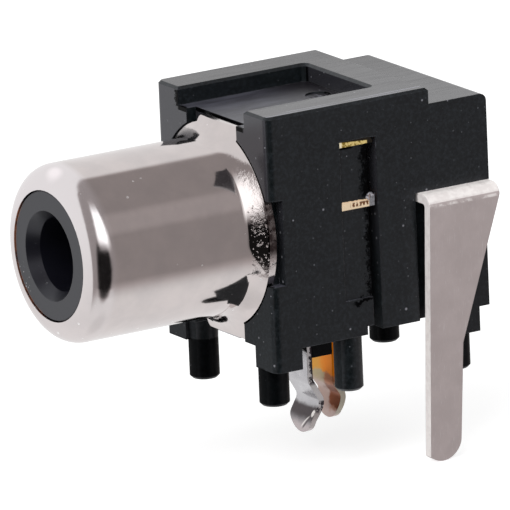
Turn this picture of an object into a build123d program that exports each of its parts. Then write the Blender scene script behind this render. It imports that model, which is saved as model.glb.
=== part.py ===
"""Right-angle phono socket that solders to a circuit board.

A nickel-plated barrel with a rolled lip and a tabbed flange stands on the front of a black moulded
housing. A black insulator lines the barrel. Two sheet-metal contacts drop through a keel under the
housing and end in kinked tails, and a wide tapered terminal blade hangs beside the housing.

Frame: the origin is on the plug's axis, in the plane of the housing's front face. Y runs back into
the housing, X is to the right seen from the front, and Z is up. All sizes are in millimetres.
"""
import os
from math import cos, hypot, radians, sin, sqrt, tan

from build123d import *

os.makedirs("parts", exist_ok=True)

# The plug and the circuit board that the socket is made for
plug_pin_radius = 1.6
board_thickness = 1.6

# Barrel, drawn from one sheet
barrel_sheet = 0.3
barrel_radius = 4.15
barrel_length = 8.885
lip_radius = 1.02
lip_flat = 0.08              # the short flat inside the lip's roll
flare_radius = 1.2           # of the bend from the tube out into the flange
flare_spread = 0.6           # from the tube's side out to the flange's rim
tab_left = -1.25
tab_right = 2.1
tab_corner_radius = 0.25
top_tab_rise = 0.15          # past the flange's rim
bottom_tab_drop = 0.36

# Insulator
insulator_clearance = 0.03
insulator_setback = 0.045    # behind the crest of the lip
insulator_nose = 0.54        # length of the narrow nose that the lip surrounds
insulator_rim_chamfer = 0.06
bore_radius = 1.72
mouth_radius = 2.1
mouth_depth = 0.54
spigot_radius = 2.6
spigot_length = 2.9
pin_room_radius = 1.9
pin_room_end = 6.6

# Housing: outside sizes
side_margin = 0.05           # from the flange's rim out to the side face
block_depth = 8.7            # the tall front block
rear_depth = 3.1             # the lower section behind it
rear_step = 0.75             # from the block's top down to the rear section's
tab_to_floor = 0.1           # from the flange's upper tab up to the recess's floor
tab_to_board = 1.04          # from the flange's lower tab down to the circuit board
front_edge_radius = 0.35
back_edge_radius = 0.35
top_edge_chamfer = 0.12

# Housing: lower edges of the side walls, as gaps above the board, and the feet
front_wall_gap = 1.0
middle_wall_gap = 1.4
rear_wall_gap = 1.15
front_foot_depth = 1.43
foot_width = 1.75            # across the housing, from its side inwards
rear_foot_depth = 0.81
rear_foot_setback = 0.55     # from the back face

# Housing: posts that locate it in the board
post_radius = 0.7
post_length = 1.9            # below the board seat
post_tip_chamfer = 0.12
post_root_taper = 2.4        # degrees, of the boss between the seat and the wall
post_root = 0.2              # how far a post runs up into the wall
post_inset = 1.75            # from the side face to the centre
post_front_y = 0.91
post_setback = 1.1           # from the back face to the rear posts' centres
middle_post_radius = 0.66
middle_post_length = 1.55
middle_post_y = 4.27
middle_post_inset = 0.02     # behind the housing's side face
middle_post_margin = 0.05    # wall behind the post

# Housing: recess in the top
recess_depth = 0.85
recess_side_wall = 1.93
recess_back_wall = 1.82
recess_corner_radius = 0.25
gate_mark_radius = 0.6
gate_mark_depth = 0.08
gate_mark_x = -0.3
gate_mark_setback = 0.93     # from the back of the recess

# Housing: underside pocket and the keel that the tails pass
pocket_wall = 1.5
pocket_front = 1.75
pocket_back_wall = 1.8
pocket_roof_wall = 0.7       # under the insulator's spigot
keel_width = 2.0
keel_reach = 0.78            # below the board seat, into the board's slot
keel_lip = 0.42              # thickness of the keel in front of the ground tail
keel_chamfer = 0.3

# Housing: recess and slot in each side, which show the contact ends
side_recess_depth = 0.1
side_recess_bottom = -3.4
side_slot_depth = 0.95
side_slot_width = 0.45
side_slot_headroom = 0.03    # from the slot's top up to the upper bar's top

# Housing: seat of the flange
flange_gap = 0.1
tab_opening_width = 4.2
tab_gap = 0.06
notch_top = 1.92
notch_bottom = -2.1
notch_depth = 0.7
notch_reach = 0.55           # how far the notch goes in from the side face

# Contacts, from thin spring sheet
spring_sheet = 0.28
tail_width = 1.94
contact_front = 3.85         # front edge of the bars that reach the side faces
contact_gap = 1.07           # keel between the two tails
ground_tail_front = 3.98
ground_foot_rise = 0.41      # the arm's height above the end of the flange's lower tab
ground_foot_drop = 0.21      # the foot's reach below the end of the flange's lower tab
upper_bar_top = 4.1
lower_bar_top = 1.14
lower_bar_root = 0.4         # from the pin's surface out to the lower bar's inner end
fork_half_width = 2.9
fork_ear_height = 0.24
fork_opening = 2.9
fork_bridge = 0.8
fold_flat = 0.02             # inside the round fold of the upper bar

# Kinks that snap the tails behind the board: drops below its back face, and reaches to the rear
ground_kink_start = 0.25
ground_kink_peak = 1.35
ground_kink_end = 2.2
ground_tail_drop = 2.87
ground_kink_reach = 0.63
ground_tail_splay = 0.12
signal_kink_start = 0.6
signal_kink_peak = 1.2
signal_kink_end = 2.0
signal_tail_drop = 2.42
signal_kink_reach = 0.42
signal_tail_splay = 0.22
kink_radius = 0.5
bend_radius = 0.25           # of the ground contact's two square bends

# Side terminal blade
blade_sheet = 0.45
blade_strap_bottom = 0.58
blade_strap_width = 3.8
blade_setback = 0.05         # from the housing's back face to the strap
blade_stand_off = 0.54       # air between the housing's side and the blade, at the bend
blade_bend_radius = 0.15     # inside the bend
blade_lean = 3.5             # degrees, towards the housing
blade_front_slant = 1.45     # degrees, of the front edge
blade_shoulder_drop = 0.1    # from the board seat down to where the taper ends
blade_tail_width = 1.95
blade_tip_drop = 5.6         # from the board seat down to the tip
blade_shoulder_radius = 1.2
strap_inner_end = -2.0
tongue_inner_x = 1.75
tongue_width = 1.1
blade_pocket_depth = 0.35
blade_pocket_margin = 0.15

# Places that follow from the sizes above: barrel and insulator
flange_radius = barrel_radius + flare_spread
top_tab_reach = flange_radius + top_tab_rise
bottom_tab_reach = flange_radius + bottom_tab_drop
barrel_inner_radius = barrel_radius - barrel_sheet
flare_centre_r = barrel_radius + flare_radius
flare_length = sqrt(flare_radius ** 2 - (flare_radius - flare_spread) ** 2)
flare_back_radius = flare_radius + barrel_sheet
flange_seat = sqrt(flare_back_radius ** 2 - (flare_radius - flare_spread) ** 2) - flare_length
tab_front = flare_radius - flare_length
tab_back = tab_front + barrel_sheet
tab_corner_r = hypot(tab_right, bottom_tab_reach)
barrel_front = -barrel_length
lip_centre_y = barrel_front + lip_radius
lip_centre_r = barrel_radius - lip_radius
lip_opening_radius = lip_centre_r - lip_flat
insulator_radius = barrel_inner_radius - insulator_clearance
insulator_front = barrel_front + insulator_setback
nose_radius = lip_opening_radius - insulator_clearance
bore_back = flange_seat + spigot_length

# Places in the housing
body_width = 2 * (flange_radius + side_margin)
half_width = body_width / 2
body_depth = block_depth + rear_depth
recess_floor = top_tab_reach + tab_to_floor
block_top = recess_floor + recess_depth
rear_top = block_top - rear_step
seat_z = -bottom_tab_reach - tab_to_board
inner_foot_x = half_width - foot_width
rear_foot_back = body_depth - rear_foot_setback
rear_foot_front = rear_foot_back - rear_foot_depth
post_x = half_width - post_inset
post_rear_y = body_depth - post_setback
middle_post_x = half_width - middle_post_radius - middle_post_inset
middle_post_back = middle_post_y + middle_post_radius + middle_post_margin
recess_width = body_width - 2 * recess_side_wall
recess_back = block_depth - recess_back_wall
gate_mark_y = recess_back - gate_mark_setback
pocket_back = body_depth - pocket_back_wall
pocket_roof = -spigot_radius - pocket_roof_wall
keel_bottom = seat_z - keel_reach
side_slot_top = upper_bar_top - side_slot_headroom

# Places of the contacts and the blade
ground_tail_back = ground_tail_front + spring_sheet
signal_front = ground_tail_back + contact_gap
signal_back = signal_front + spring_sheet
board_back = seat_z - board_thickness
ground_tail_end = board_back - ground_tail_drop
signal_tail_end = board_back - signal_tail_drop
blade_strap_top = blade_strap_bottom + blade_sheet
blade_back = body_depth - blade_setback
blade_front = blade_back - blade_strap_width
blade_shoulder = seat_z - blade_shoulder_drop
blade_tip = seat_z - blade_tip_drop

through = 3 * body_width     # long enough to cut right through
overshoot = 1                # how far a cut starts outside the surface that it opens
near = 0.01                  # slack when edges are picked by their place


def box_between(x, y, z, mode=Mode.ADD):
    """Add or cut a box given by its limits along each axis."""
    centre = ((x[0] + x[1]) / 2, (y[0] + y[1]) / 2, (z[0] + z[1]) / 2)
    with Locations(centre):
        Box(x[1] - x[0], y[1] - y[0], z[1] - z[0], mode=mode)


def tail_outline(end_z):
    """A tail as seen from the front: its full width, with a round end."""
    with BuildSketch(Plane.XZ.offset(-through)) as outline:
        with Locations((0, end_z + tail_width / 2)):
            Circle(tail_width / 2)
        with Locations((0, end_z + tail_width / 2 + through / 2)):
            Rectangle(through, through)
    return outline.sketch


def folded_strip(points, radii, width, sheet):
    """A flat strip along a route in the YZ plane, with its folds rounded by one radius or a list."""
    with BuildPart() as strip:
        with BuildLine(Plane.YZ) as route:
            FilletPolyline(*points, radius=radii)
        with BuildSketch(Plane(origin=route.line @ 0, x_dir=(1, 0, 0), z_dir=route.line % 0)):
            Rectangle(width, sheet)
        sweep()
    return strip.part


# Barrel: tube, rolled lip and flared flange drawn from one sheet, trimmed to leave two tabs
with BuildPart() as barrel:
    with BuildSketch(Plane.XY):
        with BuildLine():
            outer_lip = ThreePointArc(
                (lip_centre_r, barrel_front),
                (lip_centre_r + lip_radius * sin(radians(45)), lip_centre_y - lip_radius * cos(radians(45))),
                (barrel_radius, lip_centre_y),
            )
            outer_wall = Line(outer_lip @ 1, (barrel_radius, -flare_length))
            outer_flare = RadiusArc(outer_wall @ 1, (flare_centre_r, tab_front), flare_radius)
            square_end = Polyline(
                outer_flare @ 1, (tab_corner_r, tab_front), (tab_corner_r, tab_back),
                (flare_centre_r, tab_back),
            )
            inner_flare = RadiusArc(
                square_end @ 1, (barrel_inner_radius, -flare_length), -flare_back_radius
            )
            inner_wall = Line(inner_flare @ 1, (barrel_inner_radius, lip_centre_y))
            # Inside, the roll is pressed to two straight slopes
            inner_lip_radius = lip_radius - barrel_sheet
            inner_lip = Polyline(
                inner_wall @ 1,
                (
                    lip_centre_r + inner_lip_radius * sin(radians(45)),
                    lip_centre_y - inner_lip_radius * cos(radians(45)),
                ),
                (lip_centre_r, barrel_front + barrel_sheet),
            )
            lip_back = Line(inner_lip @ 1, (lip_opening_radius, barrel_front + barrel_sheet))
            lip_edge = Line(lip_back @ 1, (lip_opening_radius, barrel_front))
            Line(lip_edge @ 1, outer_lip @ 0)
        make_face()
    revolve(axis=Axis.Y)
    with BuildSketch(Plane.XZ) as trim:
        Polygon(
            (tab_left, -bottom_tab_reach), (tab_right, -bottom_tab_reach),
            (tab_right, top_tab_reach), (tab_left, top_tab_reach),
            align=None,
        )
        fillet(trim.vertices().group_by(Axis.X)[0], tab_corner_radius)
        Circle(flange_radius)
    extrude(amount=through, both=True, mode=Mode.INTERSECT)

barrel.part.label = "plated_barrel"
export_step(barrel.part, "parts/plated_barrel.step")


# Insulator: a long bush with a narrow nose in the lip and a spigot in the housing
with BuildPart() as insulator:
    with BuildSketch(Plane.XY):
        nose_end = insulator_front + insulator_nose
        shoulder_end = nose_end + insulator_radius - nose_radius
        Polygon(
            (mouth_radius, insulator_front),
            (nose_radius, insulator_front),
            (nose_radius, nose_end),
            (insulator_radius, shoulder_end),
            (insulator_radius, flange_seat),
            (spigot_radius, flange_seat),
            (spigot_radius, bore_back),
            (bore_radius, bore_back),
            (bore_radius, insulator_front + mouth_depth),
            align=None,
        )
    revolve(axis=Axis.Y)
    front_rim = insulator.edges().filter_by(GeomType.CIRCLE).group_by(Axis.Y)[0]
    chamfer(front_rim.sort_by(SortBy.RADIUS)[-1], insulator_rim_chamfer)

insulator.part.label = "insulator"
export_step(insulator.part, "parts/insulator.step")


# Ground contact: a foot behind the flange's lower tab, an arm under the housing and a kinked tail
ground_mid_y = ground_tail_front + spring_sheet / 2
ground_arm_z = ground_foot_rise - bottom_tab_reach - spring_sheet / 2
ground_foot_y = tab_back + spring_sheet / 2
with BuildPart() as ground_contact:
    add(folded_strip(
        [
            (ground_foot_y, -bottom_tab_reach - ground_foot_drop),
            (ground_foot_y, ground_arm_z),
            (ground_mid_y, ground_arm_z),
            (ground_mid_y, board_back - ground_kink_start),
            (ground_mid_y + ground_kink_reach, board_back - ground_kink_peak),
            (ground_mid_y + ground_tail_splay, board_back - ground_kink_end),
            (ground_mid_y + ground_tail_splay, ground_tail_end),
        ],
        [bend_radius, bend_radius, kink_radius, kink_radius, kink_radius], tail_width, spring_sheet,
    ))
    extrude(tail_outline(ground_tail_end), amount=2 * through, mode=Mode.INTERSECT)

ground_contact.part.label = "ground_contact"
export_step(ground_contact.part, "parts/ground_contact.step")


# Signal contact: a fork round the plug's pin, bars forward to the side faces and a kinked tail
signal_mid_y = (signal_front + signal_back) / 2
with BuildPart() as signal_contact:
    add(folded_strip(
        [
            (signal_mid_y, pocket_roof),
            (signal_mid_y, board_back - signal_kink_start),
            (signal_mid_y + signal_kink_reach, board_back - signal_kink_peak),
            (signal_mid_y + signal_tail_splay, board_back - signal_kink_end),
            (signal_mid_y + signal_tail_splay, signal_tail_end),
        ],
        kink_radius, tail_width, spring_sheet,
    ))
    extrude(tail_outline(signal_tail_end), amount=2 * through, mode=Mode.INTERSECT)
    with BuildSketch(Plane.XZ.offset(-signal_back)):
        Polygon(
            (-tail_width / 2, pocket_roof), (tail_width / 2, pocket_roof),
            (fork_half_width, pocket_roof + fork_half_width - tail_width / 2),
            (fork_half_width, upper_bar_top - spring_sheet),
            (-fork_half_width, upper_bar_top - spring_sheet),
            (-fork_half_width, pocket_roof + fork_half_width - tail_width / 2),
            align=None,
        )
        Circle(plug_pin_radius, mode=Mode.SUBTRACT)
        window_top = upper_bar_top - spring_sheet - fork_bridge
        with Locations((0, window_top / 2)):
            Rectangle(fork_opening, window_top, mode=Mode.SUBTRACT)
    extrude(amount=spring_sheet)
    box_between(
        (-half_width, half_width), (contact_front, signal_back),
        (upper_bar_top - spring_sheet, upper_bar_top),
    )
    box_between(
        (plug_pin_radius + lower_bar_root, half_width), (contact_front, signal_back),
        (lower_bar_top - spring_sheet, lower_bar_top),
    )
    box_between(
        (plug_pin_radius + lower_bar_root, half_width), (signal_front, signal_back),
        (lower_bar_top - spring_sheet, lower_bar_top + fork_ear_height),
    )
    back_edges = signal_contact.edges().filter_by(Axis.X)
    back_edges = back_edges.filter_by_position(Axis.Y, signal_back - near, signal_back + near)
    fillet(back_edges.sort_by(Axis.Z)[-1], spring_sheet - fold_flat)

signal_contact.part.label = "signal_contact"
export_step(signal_contact.part, "parts/signal_contact.step")


# Side terminal: a strap and tongue inside the housing, bent down into a tapered blade
strap_mid_z = (blade_strap_bottom + blade_strap_top) / 2
blade_mid_x = half_width + blade_stand_off + blade_sheet / 2
blade_drop = strap_mid_z - blade_tip + overshoot
blade_foot_x = blade_mid_x - blade_drop * tan(radians(blade_lean))
with BuildPart() as side_terminal:
    with BuildLine(Plane.XZ) as bend_line:
        FilletPolyline(
            (strap_inner_end, strap_mid_z),
            (blade_mid_x, strap_mid_z),
            (blade_foot_x, strap_mid_z - blade_drop),
            radius=blade_bend_radius + blade_sheet / 2,
        )
    with BuildSketch(Plane(origin=bend_line.line @ 0, x_dir=(0, 1, 0), z_dir=(1, 0, 0))):
        with Locations((blade_front + blade_strap_width / 2, 0)):
            Rectangle(blade_strap_width, blade_sheet)
    sweep(path=bend_line.line)
    # Trim the blade to its tapered outline with a round tip
    with BuildSketch(Plane.YZ) as blade_outline:
        with BuildLine():
            slant = tan(radians(blade_front_slant))
            tip_z = blade_tip + blade_tail_width / 2
            tip_y = blade_front - slant * (blade_strap_bottom - tip_z)
            shoulder_y = blade_front - slant * (blade_strap_bottom - blade_shoulder) + blade_tail_width
            top_z = blade_strap_top + overshoot
            front_edge = Line((blade_front, blade_strap_bottom), (tip_y, tip_z))
            tip_point = (tip_y + blade_tail_width / 2, blade_tip)
            tip = ThreePointArc(front_edge @ 1, tip_point, (tip_y + blade_tail_width, tip_z))
            Polyline(
                tip @ 1, (shoulder_y, blade_shoulder), (blade_back, blade_strap_bottom),
                (blade_back, top_z), (blade_front, top_z), front_edge @ 0,
            )
        make_face()
        corners = blade_outline.vertices().filter_by_position(
            Axis.Y, shoulder_y - near, shoulder_y + near
        )
        fillet(corners, blade_shoulder_radius)
    extrude(amount=through, both=True, mode=Mode.INTERSECT)
    # The tongue reaches forward to the back of the signal contact
    box_between(
        (tongue_inner_x, tongue_inner_x + tongue_width), (signal_back, blade_front),
        (blade_strap_bottom, blade_strap_top),
    )

side_terminal.part.label = "side_terminal"
export_step(side_terminal.part, "parts/side_terminal.step")


# Housing: one black moulding
with BuildPart() as housing:
    # The side outline carries the two roof levels, the feet and the stepped lower edge
    with BuildSketch(Plane.YZ):
        Polygon(
            (0, seat_z),
            (front_foot_depth, seat_z),
            (front_foot_depth, seat_z + front_wall_gap),
            (middle_post_back, seat_z + front_wall_gap),
            (middle_post_back, seat_z + middle_wall_gap),
            (signal_front + side_slot_width, seat_z + middle_wall_gap),
            (signal_front + side_slot_width, seat_z + rear_wall_gap),
            (rear_foot_front, seat_z + rear_wall_gap),
            (rear_foot_front, seat_z),
            (rear_foot_back, seat_z),
            (rear_foot_back, seat_z + rear_wall_gap),
            (body_depth, seat_z + rear_wall_gap),
            (body_depth, rear_top),
            (block_depth, rear_top),
            (block_depth, block_top),
            (0, block_top),
            align=None,
        )
    extrude(amount=half_width, both=True)

    upright = housing.edges().filter_by(Axis.Z)
    fillet(upright.group_by(Axis.Y)[0], front_edge_radius)
    lengthwise = housing.edges().filter_by(Axis.X)
    roof_edges = lengthwise.filter_by_position(Axis.Z, rear_top - near, block_top + near)
    fillet(roof_edges.group_by(Axis.Y)[-1], back_edge_radius)

    # Between the feet the underside is level with the side walls
    box_between(
        (-inner_foot_x, inner_foot_x), (-through, through), (-through, seat_z + front_wall_gap),
        mode=Mode.SUBTRACT,
    )

    # Recess in the top, open at the front
    with BuildSketch(Plane.XY.offset(recess_floor)):
        Polygon(
            (-recess_width / 2, -overshoot), (recess_width / 2, -overshoot),
            (recess_width / 2, recess_back), (-recess_width / 2, recess_back),
            align=None,
        )
    extrude(amount=through, mode=Mode.SUBTRACT)
    upright = housing.edges().filter_by(Axis.Z)
    fillet(
        upright.filter_by_position(Axis.Y, recess_back - near, recess_back + near),
        recess_corner_radius,
    )
    chamfer(
        housing.faces().filter_by(Axis.Z).sort_by(Axis.Z)[-1].edges(),
        top_edge_chamfer,
    )
    with BuildSketch(Plane.XY.offset(recess_floor)):
        with Locations((gate_mark_x, gate_mark_y)):
            Circle(gate_mark_radius)
    extrude(amount=-gate_mark_depth, mode=Mode.SUBTRACT)

    # Pocket under the housing
    box_between(
        (pocket_wall - half_width, half_width - pocket_wall), (pocket_front, pocket_back),
        (-through, pocket_roof), mode=Mode.SUBTRACT,
    )

    # Keel: the divider between the tails, and a thin lip in front of the ground tail
    box_between(
        (-keel_width / 2, keel_width / 2), (ground_tail_back, signal_front),
        (keel_bottom, pocket_roof),
    )
    with BuildSketch(Plane.YZ):
        Polygon(
            (ground_tail_front, pocket_roof),
            (ground_tail_front, keel_bottom + keel_chamfer),
            (ground_tail_front - keel_lip, keel_bottom + keel_chamfer + keel_lip),
            (ground_tail_front - keel_lip, pocket_roof),
            align=None,
        )
    extrude(amount=keel_width / 2, both=True)

    # Seat of the flange, with the side notches where its rim shows
    with BuildSketch(Plane.XZ):
        Circle(flange_radius + flange_gap)
    extrude(amount=-flange_seat, mode=Mode.SUBTRACT)
    opening_x = (-tab_opening_width / 2 - tab_gap, tab_opening_width / 2 + tab_gap)
    opening_y = (-overshoot, tab_back + tab_gap)
    box_between(opening_x, opening_y, (insulator_radius, recess_floor + overshoot), mode=Mode.SUBTRACT)
    box_between(opening_x, opening_y, (seat_z, -insulator_radius), mode=Mode.SUBTRACT)
    for side in (-1, 1):
        notch_x = sorted((side * (half_width - notch_reach), side * through))
        box_between(notch_x, (-overshoot, notch_depth), (notch_bottom, notch_top), mode=Mode.SUBTRACT)

    # Bore for the insulator's spigot and the room for the plug's pin behind it
    with BuildSketch(Plane.XZ):
        Circle(spigot_radius)
    extrude(amount=-bore_back, mode=Mode.SUBTRACT)
    with BuildSketch(Plane.XZ):
        Circle(pin_room_radius)
    extrude(amount=-pin_room_end, mode=Mode.SUBTRACT)

    # Shallow recess and deep slot in each side
    for side in (-1, 1):
        recess_x = sorted((side * (half_width - side_recess_depth), side * through))
        box_between(
            recess_x, (contact_front, signal_front), (side_recess_bottom, upper_bar_top),
            mode=Mode.SUBTRACT,
        )
        slot_x = sorted((side * (half_width - side_slot_depth), side * through))
        box_between(
            slot_x, (signal_front, signal_front + side_slot_width), (-through, side_slot_top),
            mode=Mode.SUBTRACT,
        )

    # The housing is moulded round the two contacts
    add(ground_contact.part, mode=Mode.SUBTRACT)
    add(signal_contact.part, mode=Mode.SUBTRACT)

    # Slot for the terminal blade's strap and tongue, and the shallow pocket behind the blade
    box_between(
        (strap_inner_end, through), (blade_front, through), (blade_strap_bottom, blade_strap_top),
        mode=Mode.SUBTRACT,
    )
    box_between(
        (tongue_inner_x, tongue_inner_x + tongue_width), (signal_back, blade_front),
        (blade_strap_bottom, blade_strap_top), mode=Mode.SUBTRACT,
    )
    box_between(
        (half_width - blade_pocket_depth, through), (blade_front - blade_pocket_margin, through),
        (-through, blade_strap_top), mode=Mode.SUBTRACT,
    )

    # Posts: the corner ones stand under tapered bosses, the middle one is flush with the right side
    corner_posts = [(x, y) for x in (-post_x, post_x) for y in (post_front_y, post_rear_y)]
    with BuildSketch(Plane.XY.offset(seat_z)):
        with Locations(*corner_posts):
            Circle(post_radius)
    extrude(amount=rear_wall_gap + post_root, taper=-post_root_taper)
    with BuildSketch(Plane.XY.offset(seat_z - post_length)):
        with Locations(*corner_posts):
            Circle(post_radius)
    extrude(amount=post_length)
    with BuildSketch(Plane.XY.offset(seat_z - middle_post_length)):
        with Locations((middle_post_x, middle_post_y)):
            Circle(middle_post_radius)
    extrude(amount=middle_post_length + front_wall_gap + post_root)
    post_ends = housing.edges().filter_by(GeomType.CIRCLE)
    post_ends = post_ends.filter_by_position(Axis.Z, -through, seat_z - overshoot)
    chamfer(post_ends, post_tip_chamfer)

housing.part.label = "moulded_housing"
export_step(housing.part, "parts/moulded_housing.step")
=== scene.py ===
"""A phono socket for a circuit board, dressed round its CAD frame and set in a white studio.

Blender works in metres. Sizes here are in millimetres and are turned into metres where they are used.
"""
from math import cos, pi, radians, sin
from random import Random

import bmesh
import bpy
from mathutils import Matrix, Vector


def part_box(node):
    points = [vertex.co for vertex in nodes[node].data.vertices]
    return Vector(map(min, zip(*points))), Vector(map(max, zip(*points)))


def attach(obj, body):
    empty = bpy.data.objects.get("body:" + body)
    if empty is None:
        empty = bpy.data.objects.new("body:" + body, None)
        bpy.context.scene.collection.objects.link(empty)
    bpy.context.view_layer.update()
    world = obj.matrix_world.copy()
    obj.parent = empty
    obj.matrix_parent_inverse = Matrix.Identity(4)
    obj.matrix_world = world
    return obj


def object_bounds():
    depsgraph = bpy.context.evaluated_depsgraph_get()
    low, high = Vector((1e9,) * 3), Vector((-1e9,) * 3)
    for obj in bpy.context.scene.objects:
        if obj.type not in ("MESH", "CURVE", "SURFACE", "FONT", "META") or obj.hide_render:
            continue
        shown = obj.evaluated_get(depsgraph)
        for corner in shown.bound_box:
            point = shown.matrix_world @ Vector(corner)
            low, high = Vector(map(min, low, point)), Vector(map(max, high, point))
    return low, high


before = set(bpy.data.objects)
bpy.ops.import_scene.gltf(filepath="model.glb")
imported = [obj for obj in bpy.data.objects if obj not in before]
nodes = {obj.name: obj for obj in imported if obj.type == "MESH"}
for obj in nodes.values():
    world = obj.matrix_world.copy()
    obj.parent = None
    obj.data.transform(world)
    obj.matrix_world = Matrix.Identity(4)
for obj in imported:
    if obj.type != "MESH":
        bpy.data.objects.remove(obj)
cad_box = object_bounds()

MM = 0.001

# Camera, fitted to the edges of the photograph
camera_azimuth = 58.875          # degrees from the front towards the right
camera_elevation = 14.901        # degrees
camera_roll = -2.455             # degrees
camera_distance = 578.0          # mm from the plug's axis
pixels_per_mm = 21.921
image_size = 510
axis_pixel = (215.494, 223.375)  # where the origin lies in the photograph
sensor_width = 36.0
nearest, farthest = 0.01, 10.0   # m, what the camera sees between

# Lamp and floor
lamp_at = (32, 48)               # azimuth and elevation in degrees
lamp_distance = 500.0
lamp_side = 350.0
lamp_radiance = 4.6
floor_gap = 0.02                 # under the lowest tip
floor_half = 400.0
paper_grey = 0.6
paper_glow = 0.72                # lifts the floor to white for the camera

# Studio as shiny surfaces mirror it: where things stand, in degrees, and how bright they are
even_light = 0.5                 # what matt surfaces get from all round
room_level = 0.34
screen_at, screen_level = (-75, 0), 0.93
card_at, card_level = (127, 35), 0.10
dark_at, dark_level = (66, -14), 0.03
softbox_at, softbox_level = (78, 0), 1.35
table_level = 0.6                # what the table adds to the room
white = (1.0, 1.0, 1.0)
warm_white = (1.0, 0.92, 0.91)


def box_mm(node):
    """The lowest and highest corner of a CAD node in millimetres."""
    return [Vector(corner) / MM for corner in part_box(node)]


# Places in mm that the materials and the two small pieces need, read from the frame
housing_right = box_mm("moulded_housing")[1].x
flange_radius = box_mm("plated_barrel")[1].x
blade_top = box_mm("side_terminal")[1].z
bars_front = box_mm("signal_contact")[0].y

# More of them, as they are on the part: +x is right, +y is back and +z is up from the plug's axis
ring_radius = 3.0                # of the insulator's ring inside the lip
mouth_glint = 1.82               # radius of the glint on its bevelled mouth, just outside the bore
barrel_radius = 4.15
recess_floor = 5.0               # height of the floor of the housing's top recess
recess_back = 6.9
recess_left = -2.87              # the left wall of that recess
gate_mark = (-0.15, 5.8)         # middle of the torn gate mark, across and along
board_seat = -6.15               # height of the feet's soles
slot_front = 5.36                # front edge of the slot in the housing's side
lip_start = -7.6                 # a little behind the rolled lip
lower_bar_top = 1.13             # of the signal contact's lower bar
bars_middle = 1.45               # a height between the two bars
tail_dip = -7.95                 # height at which the signal tail's tin begins

# Cosines between which a face counts as looking along a direction
nearly, fully = 0.8, 0.9


def turned(azimuth, elevation):
    """The unit direction at an azimuth from the front, towards the right, and an elevation."""
    a, e = radians(azimuth), radians(elevation)
    return Vector((sin(a) * cos(e), -cos(a) * cos(e), sin(e)))


def make_camera():
    """The camera of the photograph: nearly level, long lens, a little rolled."""
    back = turned(camera_azimuth, camera_elevation)
    level = Vector((cos(radians(camera_azimuth)), sin(radians(camera_azimuth)), 0))
    rise = back.cross(level)
    roll = radians(camera_roll)
    right = level * cos(roll) + rise * sin(roll)
    up = rise * cos(roll) - level * sin(roll)
    aside = (axis_pixel[0] - image_size / 2) / pixels_per_mm
    above = (image_size / 2 - axis_pixel[1]) / pixels_per_mm
    place = back * camera_distance - right * aside - up * above
    data = bpy.data.cameras.new("camera")
    data.sensor_width = sensor_width
    data.lens = sensor_width * pixels_per_mm * camera_distance / image_size
    data.clip_start = nearest
    data.clip_end = farthest
    camera = bpy.data.objects.new("camera", data)
    turn = Matrix((right, up, back)).transposed().to_4x4()
    camera.matrix_world = Matrix.Translation(place * MM) @ turn
    bpy.context.scene.collection.objects.link(camera)
    bpy.context.scene.camera = camera


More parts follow.
